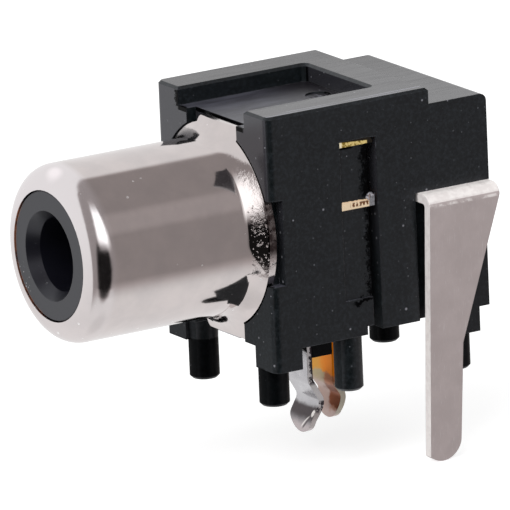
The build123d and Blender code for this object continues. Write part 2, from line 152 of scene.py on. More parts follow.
class Shader:
    """A node tree with short calls for the nodes that the materials and the world use."""

    def __init__(self, tree):
        self.tree = tree
        tree.nodes.clear()

    def put(self, socket, value):
        """Set a socket to a number or colour, or link another node's output to it."""
        if isinstance(value, bpy.types.NodeSocket):
            self.tree.links.new(value, socket)
        elif isinstance(value, tuple) and len(value) == 3 and socket.type == "RGBA":
            socket.default_value = (*value, 1.0)
        else:
            socket.default_value = value

    def node(self, kind, **values):
        """A node with its named inputs set; names that aren't inputs are the node's own settings."""
        made = self.tree.nodes.new(kind)
        for name, value in values.items():
            label = name.replace("_", " ")
            if label in made.inputs:
                self.put(made.inputs[label], value)
            else:
                setattr(made, name, value)
        return made

    def math(self, operation, a, b=0.0):
        """A sum or function of one or two numbers."""
        made = self.tree.nodes.new("ShaderNodeMath")
        made.operation = operation
        self.put(made.inputs[0], a)
        self.put(made.inputs[1], b)
        return made.outputs[0]

    def plus(self, a, b):
        """The sum of two numbers."""
        return self.math("ADD", a, b)

    def less(self, a, b):
        """The first number less the second."""
        return self.math("SUBTRACT", a, b)

    def times(self, first, *others):
        """The product, which for shares is where every one of them is present."""
        for other in others:
            first = self.math("MULTIPLY", first, other)
        return first

    def most(self, first, *others):
        """The largest, which for shares is where any of them is present."""
        for other in others:
            first = self.math("MAXIMUM", first, other)
        return first

    def ramp(self, value, low, high, start=0.0, end=1.0):
        """A smooth change from start to end as value goes from low to high."""
        made = self.tree.nodes.new("ShaderNodeMapRange")
        made.interpolation_type = "SMOOTHSTEP"
        self.put(made.inputs["Value"], value)
        self.put(made.inputs["From Min"], low)
        self.put(made.inputs["From Max"], high)
        self.put(made.inputs["To Min"], start)
        self.put(made.inputs["To Max"], end)
        return made.outputs["Result"]

    def between(self, share, none, full):
        """A number that goes smoothly from none to full as a share does."""
        return self.ramp(share, 0.0, 1.0, none, full)

    def band(self, value, low, high, soft):
        """One between low and high, and nothing outside, with soft ends."""
        rise = self.ramp(value, low - soft, low + soft)
        fall = self.ramp(value, high - soft, high + soft, 1.0, 0.0)
        return self.times(rise, fall)

    def mix(self, share, a, b):
        """A blend of two colours."""
        made = self.tree.nodes.new("ShaderNodeMix")
        made.data_type = "RGBA"
        self.put(made.inputs["Factor"], share)
        self.put(made.inputs[6], a)
        self.put(made.inputs[7], b)
        return made.outputs[2]

    def coated(self, base, *coats):
        """A colour with coats laid over it in turn, each of them a share and a colour."""
        for share, colour in coats:
            base = self.mix(share, base, colour)
        return base

    def noise(self, where, scale, detail=3.0, roughness=0.55):
        """A random pattern between nothing and one."""
        made = self.tree.nodes.new("ShaderNodeTexNoise")
        self.put(made.inputs["Vector"], where)
        made.inputs["Scale"].default_value = scale
        made.inputs["Detail"].default_value = detail
        made.inputs["Roughness"].default_value = roughness
        return made.outputs["Fac"]

    def patches(self, where, scale, detail=3.0, roughness=0.55, low=0.3, high=0.7, start=0.0, end=1.0):
        """Random patches: start where the noise is under low, and end where it is over high."""
        return self.ramp(self.noise(where, scale, detail, roughness), low, high, start, end)

    def dots(self, where, scale, size, share, dimensions="3D"):
        """Round specks: one in some cells of a random pattern, each a little different in size."""
        fade, soft = 0.9, 0.02
        made = self.tree.nodes.new("ShaderNodeTexVoronoi")
        made.voronoi_dimensions = dimensions
        self.put(made.inputs["Vector"], where)
        made.inputs["Scale"].default_value = scale
        pick = self.node("ShaderNodeSeparateColor", Color=made.outputs["Color"])
        chosen = self.ramp(pick.outputs["Red"], 1 - share, 1 - share * fade)
        edge = self.times(pick.outputs["Green"], size * scale)
        disc = self.ramp(self.less(made.outputs["Distance"], edge), -soft, soft, 1.0, 0.0)
        return self.times(chosen, disc)

    def specks(self, a, b, scale, size, share):
        """The same specks spread over a flat face, by the two coordinates along it."""
        flat = self.node("ShaderNodeCombineXYZ", X=a, Y=b).outputs[0]
        return self.dots(flat, scale, size, share, "2D")

    def length(self, a, b):
        """The length of a line that goes a across and b up."""
        return self.math("SQRT", self.plus(self.times(a, a), self.times(b, b)))

    def away(self, a, b, centre, stretch=(1.0, 1.0)):
        """The distance of a point from a centre, by two coordinates that are each stretched."""
        aside = self.times(self.less(a, centre[0]), stretch[0])
        above = self.times(self.less(b, centre[1]), stretch[1])
        return self.length(aside, above)

    def stretched(self, stretch=(1.0, 1.0, 1.0)):
        """Object coordinates in millimetres, stretched along each axis."""
        scaled = self.node("ShaderNodeMapping")
        scaled.inputs["Scale"].default_value = [part / MM for part in stretch]
        self.put(scaled.inputs["Vector"], self.node("ShaderNodeTexCoord").outputs["Object"])
        return scaled.outputs["Vector"]

    def axes(self, vector):
        """The three parts of a vector."""
        return self.node("ShaderNodeSeparateXYZ", Vector=vector).outputs

    def dot(self, a, b):
        """The cosine between two directions."""
        made = self.node("ShaderNodeVectorMath", operation="DOT_PRODUCT")
        self.put(made.inputs[0], a)
        self.put(made.inputs[1], b)
        return made.outputs["Value"]

    def bump(self, height, strength, depth, normal):
        """A normal roughened by a height pattern, in millimetres deep."""
        made = self.node("ShaderNodeBump", Strength=strength, Distance=depth * MM, Height=height)
        if normal is not None:
            self.put(made.inputs["Normal"], normal)
        return made.outputs["Normal"]

    def rounded(self, radius):
        """The normal of an edge that is broken by a small radius."""
        return self.node("ShaderNodeBevel", samples=6, Radius=radius * MM).outputs["Normal"]


class Finish(Shader):
    """A material, with the place and the direction of each point of its surface on the part."""

    def __init__(self, name):
        self.material = bpy.data.materials.new(name)
        self.material.use_nodes = True
        super().__init__(self.material.node_tree)
        self.surface = self.node("ShaderNodeBsdfPrincipled")
        self.node("ShaderNodeOutputMaterial", Surface=self.surface.outputs["BSDF"])
        self.place = self.stretched()
        self.across, self.along, self.height = self.axes(self.place)
        self.true_normal = self.node("ShaderNodeNewGeometry").outputs["True Normal"]
        self.right, self.back, self.up = self.axes(self.true_normal)

    def give(self, **values):
        """Set the surface's inputs, by their names with underscores for the spaces."""
        for name, value in values.items():
            self.put(self.surface.inputs[name.replace("_", " ")], value)

    def from_axis(self):
        """The distance from the plug's axis."""
        return self.length(self.across, self.height)


def facing(shader, direction, at):
    """How nearly a direction points to a place in the studio, as a cosine."""
    return shader.dot(direction, turned(*at))


def studio_walls(shader, direction):
    """What shiny surfaces mirror: a white screen and table, a grey room, a softbox and the dark below it."""
    # Where each thing begins and where it is full, as a cosine to its middle or a sine over the horizon
    screen_edge = (0.15, 0.30)
    table_edge = (-0.42, -0.80)
    below_edge = (-0.90, -1.0)
    card_edge = (0.965, 0.995)
    dark_edge = (0.70, 0.90)
    softbox_side = (0.80, 0.95)
    softbox_foot = (0.10, 0.45)
    softbox_head = (0.76, 0.98)
    warm_below, white_above = 0.35, 0.85
    table_start = room_level - 0.02
    below_loss = 0.12
    straight_up = 0.01               # the least level part, so that nothing is divided by zero

    height = shader.axes(direction)[2]
    screen = shader.ramp(facing(shader, direction, screen_at), *screen_edge)
    level = shader.between(screen, room_level, screen_level)
    table = shader.ramp(height, *table_edge, 0.0, table_level)
    level = shader.most(level, shader.plus(table, table_start))
    level = shader.less(level, shader.ramp(height, *below_edge, 0.0, below_loss))
    card = shader.ramp(facing(shader, direction, card_at), *card_edge, 0.0, card_level)
    level = shader.plus(level, card)
    dark = shader.ramp(facing(shader, direction, dark_at), *dark_edge)
    level = shader.times(level, shader.between(dark, 1.0, dark_level))

    # The softbox is upright, so its sides are lines of equal azimuth
    level_part = shader.math("SQRT", shader.less(1.0, shader.math("POWER", height, 2.0)))
    level_part = shader.most(level_part, straight_up)
    aside = shader.math("DIVIDE", facing(shader, direction, softbox_at), level_part)
    width = shader.ramp(aside, *softbox_side)
    rise = shader.ramp(height, *softbox_foot)
    fall = shader.ramp(height, *softbox_head, 1.0, 0.0)
    level = shader.plus(level, shader.times(width, rise, fall, softbox_level))
    return level, shader.mix(shader.ramp(level, warm_below, white_above), warm_white, white)


def make_world():
    """White behind the object, even light on it, and the studio's walls in its shiny surfaces."""
    world = bpy.data.worlds.new("studio")
    bpy.context.scene.world = world
    world.use_nodes = True
    world.cycles.sampling_method = "NONE"
    shader = Shader(world.node_tree)
    direction = shader.node("ShaderNodeTexCoord").outputs["Generated"]
    path = shader.node("ShaderNodeLightPath").outputs
    mirrored = shader.most(path["Is Glossy Ray"], path["Is Transmission Ray"])
    level, tint = studio_walls(shader, direction)
    strength = shader.between(mirrored, even_light, level)
    strength = shader.between(path["Is Camera Ray"], strength, 1.0)
    colour = shader.mix(mirrored, white, tint)
    background = shader.node("ShaderNodeBackground", Color=colour, Strength=strength)
    shader.node("ShaderNodeOutputWorld", Surface=background.outputs["Background"])


def make_lamp():
    """One large soft lamp in front, to the right and above; it lights but isn't mirrored."""
    data = bpy.data.lights.new("soft_lamp", "AREA")
    data.shape = "SQUARE"
    data.size = lamp_side * MM
    data.energy = lamp_radiance * pi * (lamp_side * MM) ** 2
    lamp = bpy.data.objects.new("soft_lamp", data)
    away = turned(*lamp_at)
    turn = away.to_track_quat("Z", "Y").to_matrix().to_4x4()
    lamp.matrix_world = Matrix.Translation(away * lamp_distance * MM) @ turn
    lamp.visible_glossy = False
    bpy.context.scene.collection.objects.link(lamp)


def make_floor():
    """A pale floor that shows white to the camera except in the object's shadow."""
    low = cad_box[0][2] - floor_gap * MM
    half = floor_half * MM
    mesh = bpy.data.meshes.new("floor")
    corners = [(-half, -half, low), (half, -half, low), (half, half, low), (-half, half, low)]
    mesh.from_pydata(corners, [], [(0, 1, 2, 3)])
    floor = bpy.data.objects.new("floor", mesh)
    bpy.context.scene.collection.objects.link(floor)
    floor.visible_glossy = False

    material = bpy.data.materials.new("floor_paper")
    material.use_nodes = True
    shader = Shader(material.node_tree)
    paper = shader.node("ShaderNodeBsdfDiffuse", Color=(paper_grey, paper_grey, paper_grey))
    seen = shader.node("ShaderNodeLightPath").outputs["Is Camera Ray"]
    strength = shader.between(seen, 0.0, paper_glow)
    glow = shader.node("ShaderNodeEmission", Color=white, Strength=strength)
    lit_paper = shader.node("ShaderNodeAddShader")
    shader.put(lit_paper.inputs[0], paper.outputs[0])
    shader.put(lit_paper.inputs[1], glow.outputs[0])
    shader.node("ShaderNodeOutputMaterial", Surface=lit_paper.outputs[0])
    mesh.materials.append(material)


def black_plastic(skin):
    """What both black mouldings share: a cool, thin sheen."""
    skin.give(Specular_Tint=(0.91, 0.92, 1.0), IOR=1.56)


def dust(skin, on_side, on_front, on_top):
    """Coats of dust and fluff, which lie on each face in their own way."""
    across, along, height = skin.across, skin.along, skin.height
    patchy = skin.patches(skin.place, scale=0.8, detail=2.0, low=0.40, high=0.60, start=0.25)
    side_dust = skin.specks(along, height, scale=2.2, size=0.045, share=0.24)
    side_fluff = skin.specks(along, height, scale=0.7, size=0.060, share=0.26)
    front_dust = skin.specks(across, height, scale=2.6, size=0.06, share=0.32)
    top_dust = skin.specks(across, along, scale=1.2, size=0.05, share=0.22)
    return [(skin.times(on_side, patchy, side_dust), (0.085, 0.09, 0.10)),
            (skin.times(on_side, side_fluff), (0.24, 0.24, 0.27)),
            (skin.times(on_front, patchy, front_dust), (0.20, 0.20, 0.22)),
            (skin.times(on_top, top_dust), (0.26, 0.26, 0.28))]


def recess_painted_sheen(skin, in_recess):
    """Painted sheen on the floor of the top recess: a streaked haze in front, and glints round the torn gate
    mark.
    """
    sheen_starts, sheen_full = 6.2, 3.4
    gate_glint_edge = (0.75, 0.35)
    drawn = skin.stretched((2.6, 0.35, 2.2))
    sheen_to_front = skin.ramp(skin.along, sheen_starts, sheen_full)
    streaked = skin.patches(drawn, scale=1.5, detail=4.0, roughness=0.6, high=0.75, start=0.35)
    near_gate = skin.ramp(skin.away(skin.across, skin.along, gate_mark), *gate_glint_edge)
    torn = skin.patches(skin.place, scale=3.2, detail=4.0, roughness=0.7, low=0.50, high=0.60)
    # Painted sheen as a streaked haze towards the front, and painted glints round the torn gate mark
    return [(skin.times(in_recess, sheen_to_front, streaked), (0.082, 0.083, 0.105)),
            (skin.times(in_recess, near_gate, torn), (0.26, 0.26, 0.31))]


def rail_highlight_lines(skin, on_top, flow):
    """Two thin pale lines along the right rail beside the top recess: painted highlights, broken by the flow.
    """
    inner_line, outer_line, soft = (4.26, 4.36), (4.52, 4.60), 0.03
    rail_height = (5.6, 5.7)
    broken_by_flow = (0.35, 0.6)
    inner = skin.band(skin.across, *inner_line, soft)
    outer = skin.band(skin.across, *outer_line, soft)
    on_rail = skin.times(on_top, skin.ramp(skin.height, *rail_height))
    # Painted highlights along the rail's edges
    return skin.times(skin.most(inner, outer), on_rail, skin.ramp(flow, *broken_by_flow))


def nicks_and_edge_highlights(skin, soft_edge):
    """Pale nicks and painted edge highlights, where the softened normal turns away from the true one at the
    edges.
    """
    cosines = (0.97, 0.85)
    edge = skin.ramp(skin.dot(soft_edge, skin.true_normal), *cosines)
    nicks = skin.patches(skin.place, scale=3.5, detail=4.0, roughness=0.7, low=0.53, high=0.66)
    # Painted edge highlights, broken up like nicks
    return skin.times(edge, nicks)


def painted_side_shade(skin, ragged):
    """Painted shade on the sides, in front of the slot: ragged black beside both bars, a torn black line
    under the recess, and a line under the upper bar.
    """
    beside_upper, upper_height = (4.75, 5.25), (1.3, 3.85)
    beside_lower, lower_height = (4.95, slot_front - 0.01), (-3.4, 0.86)
    torn_height, torn_length, torn_slope = (-4.20, -3.98), (4.30, slot_front), 0.12
    gap_height, gap_length = (3.69, 3.80), (3.9, 4.6)

    along, height = skin.along, skin.height
    beside = skin.plus(along, ragged)
    # Painted shade, plain black: beside both bars, under the recess and under the upper bar
    upper = skin.times(skin.ramp(beside, *beside_upper), skin.band(height, *upper_height, soft=0.15))
    lower = skin.times(skin.ramp(beside, *beside_lower), skin.band(height, *lower_height, soft=0.1))
    wavy = skin.patches(skin.place, scale=3.0, roughness=0.6, start=-0.13, end=0.13)
    below = skin.plus(skin.less(height, skin.times(along, torn_slope)), wavy)
    torn = skin.times(skin.band(below, *torn_height, soft=0.05), skin.band(along, *torn_length, soft=0.2))
    gap = skin.times(skin.band(height, *gap_height, soft=0.03), skin.band(along, *gap_length, soft=0.15))
    on_right = skin.ramp(skin.right, nearly, fully)
    before_slot = skin.ramp(along, slot_front, slot_front - 0.03)
    return skin.times(skin.most(upper, torn, lower, gap), on_right, before_slot)


def painted_front_shade(skin, ragged, on_front, in_recess):
    """Painted shade in front: black at the recess's frayed left end, along the front of its floor, and a line
    over the barrel's tab.
    """
    frayed_edge, frayed_end = (recess_left - 0.27, recess_left - 0.17), (-2.5, -2.7)
    frayed_height = (4.95, 5.72)
    line_height, line_width = (4.80, 5.02), (-2.9, 2.8)
    shaded_floor_edge = (0.16, 0.10)
    fray_share, shade_ragged_share = 0.7, 0.4

    across, along, height = skin.across, skin.along, skin.height
    # Painted shade of the gaps: at the recess's left end, over the barrel's tab and along the front of the
    # recess floor
    frayed = skin.ramp(skin.plus(across, skin.times(ragged, fray_share)), *frayed_edge)
    frayed = skin.times(frayed, on_front, skin.ramp(across, *frayed_end))
    frayed = skin.times(frayed, skin.band(height, *frayed_height, soft=0.04))
    over_tab = skin.times(on_front, skin.band(height, *line_height, soft=0.02))
    over_tab = skin.times(over_tab, skin.band(across, *line_width, soft=0.1))
    worn = skin.ramp(skin.plus(along, skin.times(ragged, shade_ragged_share)), *shaded_floor_edge)
    return skin.most(frayed, over_tab, skin.times(in_recess, worn))


def painted_shade_and_dull_posts(skin, on_front, in_recess):
    """Painted shade, shown as plain black: beside the slot, under the upper bar and the recess, over the
    barrel's tab and along the recess's front; and the dull corner posts.
    """
    dull_share = 0.75
    beside_middle_post = (3.9, 3.7)
    ragged = skin.patches(skin.place, scale=5.0, detail=5.0, roughness=0.75, start=-0.22, end=0.22)
    posts = skin.ramp(skin.height, board_seat + 0.1, board_seat, 0.0, dull_share)
    posts = skin.times(posts, skin.ramp(skin.across, *beside_middle_post))
    return skin.most(painted_side_shade(skin, ragged), painted_front_shade(skin, ragged, on_front, in_recess), posts)


def moulded_plastic():
    """The housing: black plastic with flow streaks, cloudy gloss, specks of dust and nicked edges, with
    painted light, highlights and shade.
    """
    flow_range = (0.3, 0.75)
    side_rough, top_rough, recess_rough = (0.30, 0.44), (0.12, 0.26), 0.34
    front_rough, front_from, front_to = (0.17, 0.80), 3.0, -4.5
    lit_from, lit_to = -3.5, 2.5
    side_sheen, top_sheen, black_sheen = 0.48, (0.27, 0.50), 0.03
    top_sheen_ends = (-housing_right, 3.0)

    skin = Finish("housing_plastic")
    black_plastic(skin)
    on_side = skin.ramp(skin.right, nearly, fully)
    on_front = skin.ramp(skin.back, -nearly, -fully)
    on_top = skin.ramp(skin.up, nearly, fully)
    in_recess = skin.times(on_top, skin.ramp(skin.height, recess_floor + 0.2, recess_floor + 0.1))
    in_recess = skin.times(in_recess, skin.ramp(skin.along, recess_back + 0.1, recess_back))
    flow = skin.noise(skin.stretched((2.2, 0.25, 2.2)), scale=1.6)
    soft_edge = skin.rounded(0.05)

    cloud = skin.patches(skin.place, scale=0.9, detail=4.0, roughness=0.6, low=0.35)
    fine = skin.patches(skin.place, scale=6.0, roughness=0.75, low=0.42, high=0.68)
    # Painted light: the front face is lighter towards its top
    painted_light_front = skin.times(on_front, skin.ramp(skin.height, lit_from, lit_to))
    base = skin.mix(cloud, (0.0015, 0.0035, 0.004), (0.0035, 0.006, 0.0065))
    base = skin.coated(base,
                       (fine, (0.0115, 0.0155, 0.0185)),
                       (painted_light_front, (0.028, 0.028, 0.033)),
                       # painted sheen: the top faces a little lighter and purplish
                       (skin.times(on_top, 0.6), (0.018, 0.014, 0.018)),
                       *dust(skin, on_side, on_front, on_top),
                       *recess_painted_sheen(skin, in_recess),
                       (rail_highlight_lines(skin, on_top, flow), (0.20, 0.20, 0.25)),
                       (nicks_and_edge_highlights(skin, soft_edge), (0.13, 0.13, 0.15)))
    # Painted shade, shown as plain black with almost no sheen, and the dull posts
    black = painted_shade_and_dull_posts(skin, on_front, in_recess)

    rough = skin.ramp(flow, *flow_range, *side_rough)
    rough = skin.between(on_top, rough, skin.ramp(flow, *flow_range, *top_rough))
    rough = skin.between(in_recess, rough, recess_rough)
    rough = skin.between(on_front, rough, skin.ramp(skin.height, front_from, front_to, *front_rough))
    sheen = skin.between(on_top, side_sheen, skin.ramp(skin.across, *top_sheen_ends, *top_sheen))
    grain = skin.noise(skin.place, scale=11.0, detail=5.0, roughness=0.65)
    skin.give(Base_Color=skin.mix(black, base, (0.001, 0.001, 0.0012)),
              Roughness=rough,
              Specular_IOR_Level=skin.between(black, sheen, black_sheen),
              Normal=skin.bump(grain, strength=0.40, depth=0.010, normal=soft_edge))
    return skin.material


def insulator_plastic():
    """The insulator: smoother black plastic, with a scorched brown line round the left of its rim, and
    painted glints on its mouth.
    """
    lean, scorched_side = 0.35, (-1.3, -2.1)
    glint_left, glint_low = (-0.4, -1.0), (0.3, -0.3)
    silver_left, silver_height = (-1.7, -2.1), (-2.2, -0.9)

    skin = Finish("insulator_plastic")
    black_plastic(skin)
    across, height = skin.across, skin.height
    spread = skin.from_axis()
    rim = skin.ramp(spread, ring_radius - 0.10, ring_radius - 0.03)
    lower_left = skin.ramp(skin.plus(across, skin.times(height, lean)), *scorched_side)
    patchy = skin.patches(skin.place, scale=2.5, detail=4.0, roughness=0.6, low=0.35, high=0.6)
    # Painted glints along the mouth's bevel, low on the left
    mouth = skin.band(spread, mouth_glint - 0.06, mouth_glint + 0.06, soft=0.02)
    mouth = skin.times(mouth, skin.ramp(across, *glint_left), skin.ramp(height, *glint_low))
    glints = skin.times(skin.patches(skin.place, scale=8.0, roughness=0.6, low=0.62, high=0.72), mouth)
    silver = skin.specks(across, height, scale=6.0, size=0.045, share=0.5)
    silver = skin.times(silver, skin.ramp(across, *silver_left), skin.band(height, *silver_height, soft=0.3))
    base = skin.mix(skin.noise(skin.place, scale=1.2), (0.004, 0.004, 0.007), (0.007, 0.007, 0.011))
    base = skin.coated(base,
                       (skin.times(rim, lower_left, patchy), (0.30, 0.10, 0.035)),
                       (glints, (0.25, 0.25, 0.26)),
                       (silver, (0.35, 0.35, 0.36)))
    grain = skin.noise(skin.place, scale=12.0, roughness=0.6)
    skin.give(Base_Color=base,
              Roughness=0.33,
              Normal=skin.bump(grain, strength=0.2, depth=0.005, normal=skin.rounded(0.04)))
    return skin.material


def flared_normal(skin, spread):
    """The flare's slope as it looks on the real part: a crisp crease, then nearly a straight cone."""
    # How far along the crease lies: in front above, further back below, and in between under a step
    crease_front, crease_back, crease_below = -0.78, -0.10, -0.62
    crease_height, step_height = (0.0, -1.7), (-1.44, -1.52)
    # The slope's three parts, by mm past the crease, and how far each turns the surface
    before, at_crease, after = (-0.22, 0.0), (-0.01, 0.06), (0.06, 0.90)
    turn_before, turn_at_crease, turn_after = radians(8), radians(14), radians(10)
    flare, tabs, outwards_part = (-1.1, -0.01), (3.0, 3.7), (0.05, -0.02)

    across, along, height = skin.across, skin.along, skin.height
    crease = skin.ramp(height, *crease_height, crease_front, crease_back)
    crease = skin.between(skin.ramp(height, *step_height), crease, crease_below)
    past = skin.less(along, crease)
    slope = skin.ramp(past, *before, 0.0, turn_before)
    slope = skin.plus(slope, skin.ramp(past, *at_crease, 0.0, turn_at_crease))
    slope = skin.plus(slope, skin.ramp(past, *after, 0.0, turn_after))
    outwards = skin.math("DIVIDE", skin.math("COSINE", slope), spread)
    cone = skin.node("ShaderNodeCombineXYZ",
                     X=skin.times(across, outwards),
                     Y=skin.times(skin.math("SINE", slope), -1.0),
                     Z=skin.times(height, outwards))
    on_flare = skin.band(along, *flare, soft=0.005)
    beside_tabs = skin.ramp(skin.math("ABSOLUTE", height), *tabs, 1.0, 0.0)
    smooth_normal = skin.node("ShaderNodeNewGeometry").outputs["Normal"]
    outside = skin.ramp(skin.axes(smooth_normal)[1], *outwards_part)
    blend = skin.node("ShaderNodeMix", data_type="VECTOR")
    skin.put(blend.inputs["Factor"], skin.times(on_flare, beside_tabs, outside))
    skin.put(blend.inputs[4], smooth_normal)
    skin.put(blend.inputs[5], cone.outputs[0])
    unit = skin.node("ShaderNodeVectorMath", operation="NORMALIZE")
    skin.put(unit.inputs[0], blend.outputs[1])
    return unit.outputs[0]


def flare_skin(skin, spread, marks):
    """The normal of the flare's pebbled skin, with beads on it beside the notch."""
    pebbled_height, beaded_height = (-1.6, 3.6), (-1.1, 1.6)
    on_flare = skin.ramp(spread, barrel_radius + 0.05, barrel_radius + 0.15)
    pebbles = skin.noise(skin.place, scale=7.0, roughness=0.6)
    pebbles = skin.plus(pebbles, skin.dots(skin.place, scale=6.0, size=0.05, share=0.3))
    pebbles = skin.times(pebbles, on_flare, skin.band(skin.height, *pebbled_height, soft=0.4))
    beads = skin.patches(skin.place, scale=6.5, detail=2.0, roughness=0.5, low=0.59, high=0.74)
    beads = skin.times(beads, on_flare, skin.band(skin.height, *beaded_height, soft=0.25))
    pebbled = skin.bump(pebbles, strength=0.45, depth=0.03, normal=marks)
    return skin.bump(beads, strength=0.8, depth=0.08, normal=pebbled)


def nickel():
    """Bright nickel: fine drawing marks along the tube, a few pits, a pebbled skin on the flare, painted
    highlights on the lip and painted shade in the notch.
    """
    lip_height, lip_share = (-2.5, 2.5), (0.3, 1.0)
    glow_centre, glow_stretch, glow_edge, glow_height = (0.23, -8.5), (0.5, 1.0), (0.38, 0.08), (3.0, 3.3)
    notch_right, notch_height = (3.5, 3.8), (-0.6, 1.9)
    lip_rough, pit_rough = 0.05, 0.3

    skin = Finish("barrel_nickel")
    across, along, height = skin.across, skin.along, skin.height
    spread = skin.from_axis()
    cloud = skin.patches(skin.place, scale=0.7)
    # Painted highlight: the lip a little lighter, and lightest towards its top
    lip = skin.times(skin.ramp(along, lip_start, lip_start - 0.5), skin.ramp(height, *lip_height, *lip_share))
    # Painted highlight: a soft bright spot at the top of the lip
    glow = skin.ramp(skin.away(across, along, glow_centre, glow_stretch), *glow_edge)
    glow = skin.times(glow, skin.ramp(height, *glow_height))
    pits = skin.dots(skin.place, scale=1.6, size=0.075, share=0.5)
    # Painted shade in the flange's notch, in patches
    in_notch = skin.ramp(spread, flange_radius - 0.12, flange_radius - 0.06)
    in_notch = skin.times(in_notch, skin.ramp(across, *notch_right))
    in_notch = skin.times(in_notch, skin.band(height, *notch_height, soft=0.3))
    notch_shade_patches = skin.patches(skin.place, scale=3.5, roughness=0.6, low=0.35, high=0.60, start=0.7)
    base = skin.mix(cloud, (0.68, 0.62, 0.61), (0.62, 0.57, 0.565))
    base = skin.coated(base,
                       (lip, (0.79, 0.745, 0.755)),
                       (glow, (1.0, 0.93, 0.95)),
                       (pits, (0.97, 0.95, 0.95)),
                       (skin.times(in_notch, notch_shade_patches), (0.06, 0.045, 0.045)))

    drawn = skin.stretched((1.2, 0.15, 1.2))
    rough = skin.patches(drawn, scale=3.0, high=0.75, start=0.06, end=0.12)
    rough = skin.plus(rough, skin.ramp(along, lip_start - 0.1, lip_start - 0.4, 0.0, lip_rough))
    rough = skin.plus(rough, skin.times(pits, pit_rough))
    marks = skin.noise(drawn, scale=12.0, roughness=0.6)
    marks = skin.bump(marks, strength=0.10, depth=0.004, normal=flared_normal(skin, spread))
    skin.give(Base_Color=base, Metallic=1.0, Roughness=rough, Normal=flare_skin(skin, spread, marks))
    return skin.material


def satin_tin(skin, colour, shade):
    """Cloudy satin tin with fine scratches."""
    cloud = skin.patches(skin.place, scale=0.8, detail=4.0, roughness=0.6)
    drawn = skin.stretched((1.0, 6.0, 0.5))
    scratched = skin.patches(drawn, scale=4.0, roughness=0.6, low=0.60, high=0.70, end=0.30)
    return skin.coated(colour, (cloud, shade), (scratched, (0.95, 0.93, 0.93)))


def satin_grain(skin, edge_radius):
    """The normal of satin tin, with its sheared edges a little rounded."""
    grain = skin.noise(skin.place, scale=9.0, detail=4.0, roughness=0.65)
    return skin.bump(grain, strength=0.25, depth=0.006, normal=skin.rounded(edge_radius))


def blade_tin():
    """The side terminal: satin tin, with painted highlights on its sheared edge, on its top and in a line
    along its bend.
    """
    # Parts of the true normal between which the painted highlights show: the line on the bend, the top and
    # the sheared edge
    line_up, top_up, sheared_back = (0.03, 0.30), (0.30, 0.50), (-0.80, -0.92)
    line_share = 0.7

    skin = Finish("blade_tin")
    on_bend = skin.ramp(skin.height, blade_top - 0.8, blade_top - 0.65)
    blotched = skin.patches(skin.place, scale=2.6, detail=4.0, roughness=0.65, low=0.42, high=0.62)
    line = skin.times(on_bend, skin.band(skin.up, *line_up, soft=0.05), blotched, line_share)
    top = skin.ramp(skin.up, *top_up)
    sheared = skin.ramp(skin.back, *sheared_back)
    worn = skin.patches(skin.place, scale=3.0, detail=4.0, roughness=0.6, low=0.35, high=0.60, start=0.75)
    # Painted highlights, near white and not metallic, broken into patches
    bright = skin.times(skin.most(top, sheared, line), worn)
    pits = skin.dots(skin.place, scale=0.8, size=0.07, share=0.12)
    base = satin_tin(skin, (0.70, 0.615, 0.61), (0.64, 0.56, 0.555))
    base = skin.coated(base, (bright, (1.0, 0.95, 0.93)), (pits, (1.0, 0.96, 0.94)))
    skin.give(Base_Color=base,
              Metallic=skin.between(bright, 0.55, 0.0),
              Roughness=skin.patches(skin.place, scale=2.5, high=0.75, start=0.34, end=0.46),
              Specular_IOR_Level=0.3,
              Normal=satin_grain(skin, 0.05))
    return skin.material


def tip_glints(skin):
    """Painted reflections on the ground tail: a slanting streak of light, the dark line over it, and a bright
    spot.
    """
    slope, tip = 0.9, 10.35
    streak_rise, streak_width = (0.0, 0.06), (0.05, 0.65)
    dark_rise, dark_width = (0.12, 0.22), (0.15, 0.75)
    spot_centre, spot_stretch, spot_edge = (0.84, -9.62), (1.0, 0.8), (0.15, 0.08)

    across, height = skin.across, skin.height
    slant = skin.less(skin.times(across, slope), skin.plus(height, tip))
    streak = skin.band(slant, *streak_rise, soft=0.05)
    streak = skin.times(streak, skin.band(across, *streak_width, soft=0.12))
    dark_line = skin.band(slant, *dark_rise, soft=0.04)
    dark_line = skin.times(dark_line, skin.band(across, *dark_width, soft=0.10))
    spot = skin.ramp(skin.away(across, height, spot_centre, spot_stretch), *spot_edge)
    return skin.most(streak, spot), dark_line


def dark_edge_crumbs(skin, side):
    """On the ground tail's sheared side: dark crumbs along its rear edge, and dark flecks across the painted
    shade band.
    """
    rear_edge, dark_edge_height, fleck_height = (4.11, 4.14), (-8.3, -8.1), (-9.60, -9.05)
    crumbs = skin.patches(skin.place, scale=4.5, detail=4.0, roughness=0.7, low=0.42, high=0.60,
                          start=-0.09, end=0.07)
    flecks = skin.patches(skin.place, scale=5.0, roughness=0.6, low=0.46, high=0.52)
    edge = skin.ramp(skin.plus(skin.along, crumbs), *rear_edge)
    edge = skin.times(edge, skin.ramp(skin.height, *dark_edge_height))
    flecks = skin.times(skin.band(skin.height, *fleck_height, soft=0.05), flecks)
    return skin.most(skin.times(side, edge), skin.times(side, flecks))


